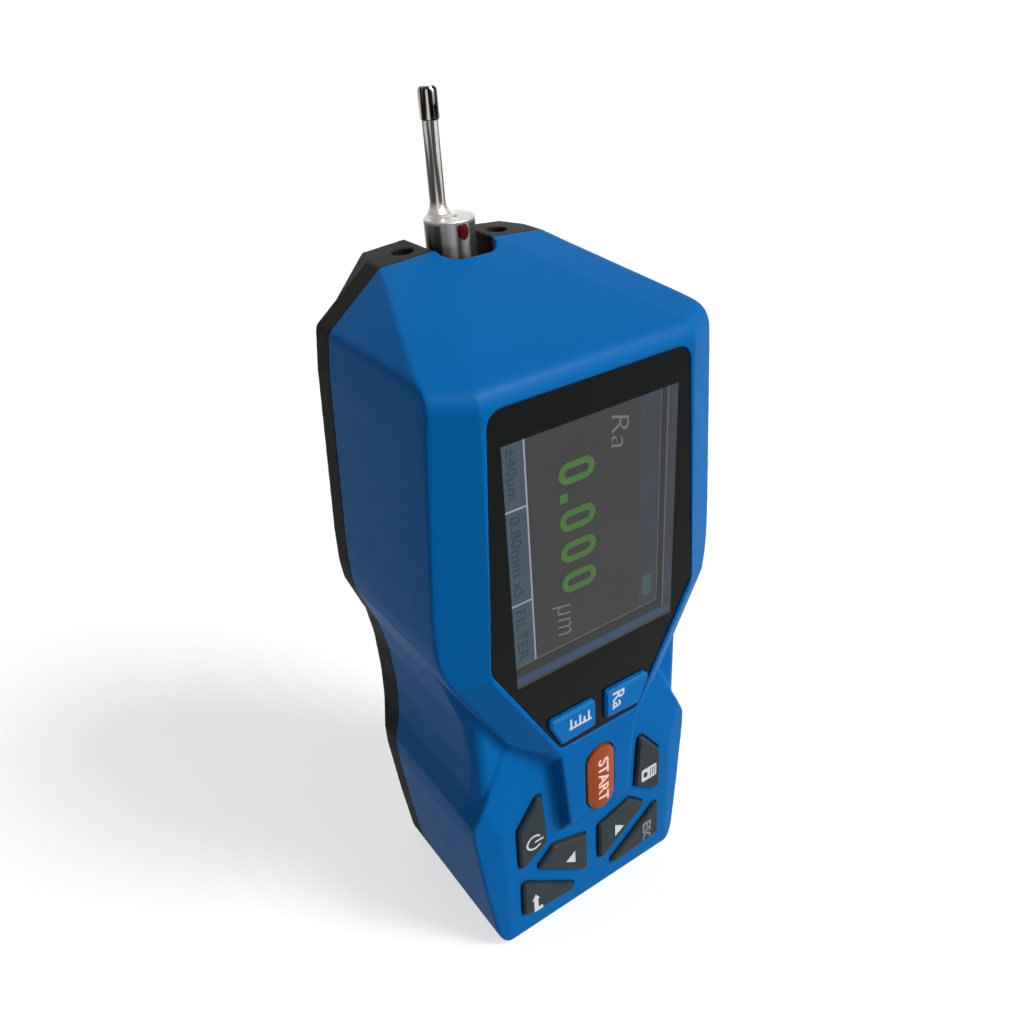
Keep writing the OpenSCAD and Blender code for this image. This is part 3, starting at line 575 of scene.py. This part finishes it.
INK_THICK = 0.08 * MM
INK_SINK = 0.03 * MM
BEND_STEP = 0.25 * MM
FAR_FRONT = -1.0


def bend(mesh, cap):
    """Bends a mesh that was laid at y = 0 onto the crowned top of a key cap."""
    made = bmesh.new()
    made.from_mesh(mesh)
    xs = [v.co.x for v in made.verts]
    for x in np.arange(min(xs) + BEND_STEP, max(xs), BEND_STEP):
        everything = made.verts[:] + made.edges[:] + made.faces[:]
        bmesh.ops.bisect_plane(made, geom=everything, plane_co=(x, 0, 0), plane_no=(1, 0, 0))
    top = BVHTree.FromPolygons([v.co for v in cap.data.vertices], [p.vertices for p in cap.data.polygons])
    for v in made.verts:
        hit = top.ray_cast(Vector((v.co.x, FAR_FRONT, v.co.z)), Vector((0, 1, 0)))[0]
        v.co.y += hit.y
    made.to_mesh(mesh)
    made.free()


def face_y(node):
    """Where ink on the face of a key begins, a little below the face."""
    return min(v.co.y for v in caps[node].data.vertices) + INK_SINK


def legend(node, name, shapes, x, z, color, turned=True):
    """Shapes printed on the face of a key."""
    mesh = lay(plates(scaled(shapes), INK_THICK), x * MM, z * MM, face_y(node), turned)
    add_piece(name, mesh, ink(name + "_ink", color), node_body[node])


def legend_word(node, name, text, x, z, wide, high, color, weight):
    """A word printed on a key, which follows the key's rounded top."""
    mesh = lay(word(text, wide * MM, high * MM, INK_THICK, weight), x * MM, z * MM, INK_SINK)
    bend(mesh, caps[node])
    add_piece(name, mesh, ink(name + "_ink", color), node_body[node])


legend_word("start_key", "start_legend", "START", x=0.35, z=40.2, wide=12.2, high=2.75,
            color=LEGEND_WARM, weight=0.02)
legend_word("parameter_key", "parameter_legend", "Ra", x=4.3, z=60.2, wide=4.2, high=3.0,
            color=LEGEND, weight=0.01)
legend_word("escape_key", "escape_legend", "ESC", x=15.5, z=10.7, wide=6.2, high=2.5,
            color=LEGEND_DIM, weight=0.02)

# Ruler with long and short teeth in turn
TOOTH_COUNT = 5
TOOTH_PITCH = 1.08
TOOTH_START = -2.5
TOOTH_WIDE = 0.45
TOOTH_FOOT = -0.9
TOOTH_TIPS = (1.2, 0.25)
ruler_bar = rectangle(-2.75, 2.75, -1.35, TOOTH_FOOT)
tooth_places = [TOOTH_START + TOOTH_PITCH * i for i in range(TOOTH_COUNT)]
ruler_teeth = [rectangle(u, u + TOOTH_WIDE, TOOTH_FOOT, TOOTH_TIPS[i % 2])
               for i, u in enumerate(tooth_places)]
legend("scale_key", "scale_legend", [ruler_bar] + ruler_teeth, x=-5.2, z=60.3, color=LEGEND, turned=False)

# Power sign, an open ring with a bar in its gap
RING_START = 130
RING_STOP = 410
RING_STEPS = 28
ring_outside = arc(0, 0, 2.05, RING_START, RING_STOP, RING_STEPS)
ring_inside = arc(0, 0, 1.6, RING_STOP, RING_START, RING_STEPS)
power_bar = rectangle(-0.22, 0.22, 0.1, 2.25)
legend("power_key", "power_legend", [ring_outside + ring_inside, power_bar], x=-15.6, z=29.6, color=LEGEND)

# Menu sign, a sheet with lines and a slot in the colour of the key
MENU_X = 15.75
MENU_Z = 29.6
MENU_LINE_COUNT = 3
MENU_LINE_START = 0.3
MENU_LINE_PITCH = 0.62
MENU_LINE_WIDE = 0.16
menu_sheet = rounded_rectangle(-1.8, 1.8, -2.15, 2.15, 0.5)
legend("menu_key", "menu_legend", [menu_sheet], MENU_X, MENU_Z, color=LEGEND)
menu_feet = [MENU_LINE_START + MENU_LINE_PITCH * i for i in range(MENU_LINE_COUNT)]
menu_lines = [rectangle(-1.3, 1.3, foot, foot + MENU_LINE_WIDE) for foot in menu_feet]
menu_slot = rounded_rectangle(-0.8, 0.8, -1.6, -0.5, 0.5)
menu_marks = plates(scaled(menu_lines + [menu_slot]), INK_THICK)
menu_marks = lay(menu_marks, MENU_X * MM, MENU_Z * MM, face_y("menu_key") - INK_SINK)
add_piece("menu_legend_lines", menu_marks, key_grey, node_body["menu_key"])

# Arrows
pointer = [(-1.8, -1.25), (1.8, -1.25), (0, 1.25)]
pointer_back = [(u, -v) for u, v in reversed(pointer)]
return_arrow = [(-2.8, 0), (-0.95, -1.0), (-0.95, -0.55), (2.8, -0.55), (2.8, 1.7), (1.8, 1.7), (1.8, 0.55),
                (-0.95, 0.55), (-0.95, 1.0)]
legend("right_key", "right_legend", [pointer], x=7.25, z=17.6, color=LEGEND)
legend("left_key", "left_legend", [pointer_back], x=-6.55, z=17.5, color=LEGEND)
legend("enter_key", "enter_legend", [return_arrow], x=-16.2, z=10.6, color=LEGEND)


# The picture on the display, in layers on the window
# Its shapes are in millimetres from its left edge, in the reading direction, and down from its top

display_low, display_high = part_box("display_module")
DISPLAY_MARGIN_X = 1.4
DISPLAY_MARGIN_Z = 3.0
PICTURE_W = (display_high.z - display_low.z) / MM - 2 * DISPLAY_MARGIN_Z
PICTURE_H = (display_high.x - display_low.x) / MM - 2 * DISPLAY_MARGIN_X
PICTURE_Z = (display_low.z + display_high.z) / 2
window_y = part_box("display_window")[0].y
LEFT = -PICTURE_W / 2
TOP = PICTURE_H / 2
LAYER = 0.015 * MM
LAYER_THICK = 2 * LAYER
WORD_LAYER = 4
WORD_LEAN = 0.25
WORD_THIN = -0.012
ZERO_STEPS = 12


def layer_y(layer):
    """Where a layer of the picture begins, with layer 1 at the window's face."""
    return window_y - (layer - 1) * LAYER


def picture(name, shapes, finish, layer):
    """Shapes of the display's picture."""
    placed = [[(LEFT + u, TOP - v) for u, v in outline] for outline in shapes]
    mesh = lay(plates(scaled(placed), LAYER_THICK), 0, PICTURE_Z, layer_y(layer))
    add_piece(name, mesh, finish, "case")


def picture_word(name, text, u, v, wide, high, finish, weight=0.0, lean=0.0):
    """A word of the display's picture, with the place of its middle."""
    mesh = word(text, wide * MM, high * MM, LAYER_THICK, weight, lean)
    mesh = lay(mesh, (TOP - v) * MM, PICTURE_Z - (LEFT + u) * MM, layer_y(WORD_LAYER))
    add_piece(name, mesh, finish, "case")


def oval(u, v, wide, high):
    """Outline of two half circles joined by straight sides, with the place of its middle."""
    rise = (high - wide) / 2
    top = [(p, q + rise) for p, q in arc(0, 0, wide / 2, 0, 180, ZERO_STEPS)]
    low = [(p, q - rise) for p, q in arc(0, 0, wide / 2, 180, 360, ZERO_STEPS)]
    return [(u + p, v - q) for p, q in top + low]


def zero(u, v, wide, high, stroke):
    """The ring of a round zero as a strip of outlines, with the place of its middle."""
    outer = oval(u, v, wide, high)
    inner = oval(u, v, wide - 2 * stroke, high - 2 * stroke)
    count = len(outer)
    steps = [(i, (i + 1) % count) for i in range(count)]
    return [[outer[i], outer[k], inner[k], inner[i]] for i, k in steps]


# Edges that several shapes share
FRAME_RIGHT = 46.4
FIELD_RIGHT = 44.1
CELLS_RIGHT = 44.0
CELLS_TOP = 32.6

whole = rectangle(0, PICTURE_W, 0, PICTURE_H)
title_band = rectangle(0, FRAME_RIGHT, 0.2, 2.2)
state_band = rectangle(0, 43.8, 4.3, 8.6)
right_strip = rectangle(46.5, 48.4, 0.4, PICTURE_H)
title_gap = rectangle(0, FRAME_RIGHT, 2.5, 3.8)
right_gap = rectangle(44.2, FRAME_RIGHT, 3.8, PICTURE_H)
cells = rectangle(0, CELLS_RIGHT, CELLS_TOP, PICTURE_H)
title_rim = rectangle(0, 46.2, 2.2, 2.42)
field_rim_top = rectangle(0, FIELD_RIGHT, 3.85, 4.0)
field_rim_right = rectangle(43.95, FIELD_RIGHT, 4.0, PICTURE_H)
cells_line = rectangle(0, CELLS_RIGHT, 32.3, 32.62)
first_divider = rectangle(11.75, 12.1, CELLS_TOP, PICTURE_H)
second_divider = rectangle(30.45, 30.8, CELLS_TOP, PICTURE_H)
battery = rectangle(37.3, 41.4, 5.3, 7.6)
battery_tip = rectangle(41.4, 41.9, 5.9, 7.0)

picture("display_back", [whole], glassy("display_back", DISPLAY, DISPLAY_PALE), 0)
picture("display_bands", [title_band, state_band], glassy("display_bands", DISPLAY_BAND, DISPLAY), 1)
picture("display_edge", [right_strip], glassy("display_edge", DISPLAY_EDGE, DISPLAY_BAND), 1)
picture("display_dark", [title_gap, right_gap], glassy("display_dark", DISPLAY_DARK, DISPLAY_DARK_PALE), 1)
picture("display_cells", [cells], glassy("display_cells", DISPLAY_CELL, DISPLAY_CELL_DEEP), 1)
picture("display_rim", [title_rim, field_rim_top, field_rim_right], glassy("display_rim", DISPLAY_RIM), 2)
picture("display_lines", [cells_line, first_divider, second_divider],
        glassy("display_lines", DISPLAY_LINE), 2)

# The reading, four zeros with a point after the first
ZERO_PLACES = [9.15, 18.25, 24.6, 30.95]
zeros = [quad for u in ZERO_PLACES for quad in zero(u, v=22.25, wide=4.1, high=7.6, stroke=1.25)]
point = rectangle(12.7, 14.4, 24.3, 25.9)
picture("display_digits", zeros + [point], glassy("display_green", DISPLAY_GREEN, DISPLAY_GREEN_DEEP), 2)
picture("display_battery", [battery, battery_tip], glassy("display_battery", DISPLAY_BATTERY), 2)

words_finish = glassy("display_words", DISPLAY_WORD)
faint_finish = glassy("display_faint", DISPLAY_FAINT)
picture_word("display_parameter", "Ra", u=4.75, v=13.0, wide=6.4, high=3.75, finish=words_finish,
             weight=WORD_THIN, lean=WORD_LEAN)
picture_word("display_unit", "µm", u=38.2, v=26.4, wide=7.2, high=4.0, finish=words_finish,
             weight=WORD_THIN, lean=WORD_LEAN)
picture_word("display_range", "±40µm", u=5.3, v=35.2, wide=9.2, high=2.2, finish=faint_finish)
picture_word("display_length", "0.80mm x5", u=21.2, v=35.0, wide=16.2, high=2.0, finish=faint_finish)
picture_word("display_filter", "FILTER", u=37.4, v=35.0, wide=11.0, high=2.0, finish=faint_finish)


# Drop of lacquer over the set screw, on the round side of the pickup

DROP_BELOW_TOP = 1.75 * MM
DROP_HALF_WIDE = 1.2 * MM
DROP_HALF_HIGH = 1.35 * MM
DROP_DOME = 0.26 * MM
DROP_RIM = 0.05 * MM
DROP_SINK = 0.03 * MM
DOME_POWER = 0.7
RIM_SHARE = 0.85
RIM_WIDTH = 0.1
DROP_WAVE = 0.03
DROP_RINGS = 9
DROP_SPOKES = 36


def lacquer_drop():
    """A domed drop with a slightly wavy edge and a low rim."""
    body_low, body_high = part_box("pickup_body")
    radius = (body_high.x - body_low.x) / 2
    axis_y = (body_low.y + body_high.y) / 2
    middle_z = body_high.z - DROP_BELOW_TOP
    made = bmesh.new()

    def place(share, angle):
        wave = 1 + DROP_WAVE * math.sin(3 * angle + 0.6) + DROP_WAVE * math.sin(5 * angle + 2)
        across = DROP_HALF_WIDE * share * wave * math.cos(angle)
        up = DROP_HALF_HIGH * share * wave * math.sin(angle)
        dome = DROP_DOME * (1 - share ** 2) ** DOME_POWER
        rim = DROP_RIM * math.exp(-((share - RIM_SHARE) / RIM_WIDTH) ** 2)
        turn = across / radius
        out = radius + dome + rim - DROP_SINK
        return Vector((out * math.sin(turn), axis_y - out * math.cos(turn), middle_z + up))

    def ring(share):
        return [made.verts.new(place(share, 2 * math.pi * j / DROP_SPOKES)) for j in range(DROP_SPOKES)]

    rows = [ring(i / DROP_RINGS) for i in range(1, DROP_RINGS + 1)]
    crown = made.verts.new(place(0, 0))
    for j in range(DROP_SPOKES):
        k = (j + 1) % DROP_SPOKES
        made.faces.new((crown, rows[0][j], rows[0][k]))
        for inner, outer in zip(rows, rows[1:]):
            made.faces.new((inner[j], outer[j], outer[k], inner[k]))
    made.faces.new(rows[-1])
    bmesh.ops.recalc_face_normals(made, faces=made.faces)
    mesh = bpy.data.meshes.new("lacquer_drop")
    made.to_mesh(mesh)
    made.free()
    mesh.shade_smooth()
    add_piece("lacquer_drop", mesh, lacquer, node_body["pickup_body"])


lacquer_drop()


# Camera, light and floor

WHITE = (1, 1, 1, 1)
AMBIENT = 0.25
CEILING_SHADE = 0.6
CEILING_START = 0.35
CEILING_FULL = 0.6
FLOOR_SHADE = 0.4
FLOOR_GLOW = 0.64
FLOOR_REACH = 20.0


def add_camera():
    """The camera of the photograph."""
    lens = bpy.data.cameras.new("camera")
    lens.sensor_width = SENSOR
    lens.lens = SENSOR * FOCAL_PIXELS / PHOTO_SIDE
    lens.clip_start = CLIP_NEAR
    lens.clip_end = CLIP_FAR
    camera = bpy.data.objects.new("camera", lens)
    scene.collection.objects.link(camera)
    camera.location = CAMERA_PLACE
    camera.rotation_mode = "QUATERNION"
    aim = (CAMERA_TARGET - CAMERA_PLACE).to_track_quat("-Z", "Y")
    camera.rotation_quaternion = aim @ Quaternion((0, 0, 1), math.radians(CAMERA_ROLL))
    scene.camera = camera


def add_light(name, toward, spread, strength, gloss_only=False):
    """A far soft light that stands in a direction and spreads over some degrees.

    One that is for gloss only makes highlights and adds no diffuse light.
    """
    lamp = bpy.data.lights.new(name, "SUN")
    lamp.angle = math.radians(spread)
    lamp.energy = strength
    light = bpy.data.objects.new(name, lamp)
    scene.collection.objects.link(light)
    light.location = toward
    light.rotation_mode = "QUATERNION"
    light.rotation_quaternion = Vector(toward).to_track_quat("Z", "Y")
    light.visible_diffuse = not gloss_only


def shown_share(tree):
    """1 for rays from the camera, a mirror or glass, and 0 for the light that falls on things."""
    path = tree.nodes.new("ShaderNodeLightPath")
    seen = larger(tree, path.outputs["Is Camera Ray"], path.outputs["Is Glossy Ray"])
    return larger(tree, seen, path.outputs["Is Transmission Ray"])


def add_world():
    """Even light, and a white room with a greyer ceiling for what is shown or mirrored."""
    world = bpy.data.worlds.new("world")
    scene.world = world
    world.use_nodes = True
    tree = world.node_tree
    plain = tree.nodes["Background"]
    plain.inputs["Color"].default_value = WHITE
    plain.inputs["Strength"].default_value = AMBIENT
    room = tree.nodes.new("ShaderNodeBackground")
    room.inputs["Color"].default_value = WHITE
    height = height_in(tree, "Generated")
    ceiling = ranged(tree, height, CEILING_START, CEILING_FULL, 1.0, CEILING_SHADE)
    tree.links.new(ceiling, room.inputs["Strength"])
    mix = tree.nodes.new("ShaderNodeMixShader")
    tree.links.new(shown_share(tree), mix.inputs["Fac"])
    tree.links.new(plain.outputs["Background"], mix.inputs[1])
    tree.links.new(room.outputs["Background"], mix.inputs[2])
    tree.links.new(mix.outputs["Shader"], tree.nodes["World Output"].inputs["Surface"])


def floor_finish():
    """Matte grey that glows enough to show as white, and lights nothing by its glow."""
    made = bpy.data.materials.new("floor")
    made.use_nodes = True
    tree = made.node_tree
    matte = tree.nodes["Principled BSDF"]
    matte.inputs["Base Color"].default_value = (FLOOR_SHADE, FLOOR_SHADE, FLOOR_SHADE, 1)
    matte.inputs["Roughness"].default_value = 1.0
    matte.inputs["Specular IOR Level"].default_value = 0.0
    glow = tree.nodes.new("ShaderNodeEmission")
    share = tree.nodes.new("ShaderNodeMath")
    share.operation = "MULTIPLY"
    share.inputs[1].default_value = FLOOR_GLOW
    tree.links.new(shown_share(tree), share.inputs[0])
    tree.links.new(share.outputs[0], glow.inputs["Strength"])
    both = tree.nodes.new("ShaderNodeAddShader")
    tree.links.new(matte.outputs["BSDF"], both.inputs[0])
    tree.links.new(glow.outputs["Emission"], both.inputs[1])
    tree.links.new(both.outputs["Shader"], tree.nodes["Material Output"].inputs["Surface"])
    return made


def add_floor():
    """A wide floor at the foot of the part."""
    corners = rectangle(-FLOOR_REACH, FLOOR_REACH, -FLOOR_REACH, FLOOR_REACH)
    mesh = bpy.data.meshes.new("floor")
    mesh.from_pydata([(x, y, 0) for x, y in corners], [], [(0, 1, 2, 3)])
    floor = bpy.data.objects.new("floor", mesh)
    scene.collection.objects.link(floor)
    dress(floor, floor_finish())


add_camera()
add_light("key_light", toward=(0.45, -0.6, 0.75), spread=18, strength=2.7)
add_light("front_light", toward=(0.45, -0.85, 0.2), spread=38, strength=1.25)
add_light("back_light", toward=(0.35, 0.92, 0.2), spread=60, strength=0.7)
add_light("edge_light", toward=(0.25, -0.58, 0.77), spread=14, strength=8, gloss_only=True)
add_world()
add_floor()
scene.view_settings.view_transform = "Standard"
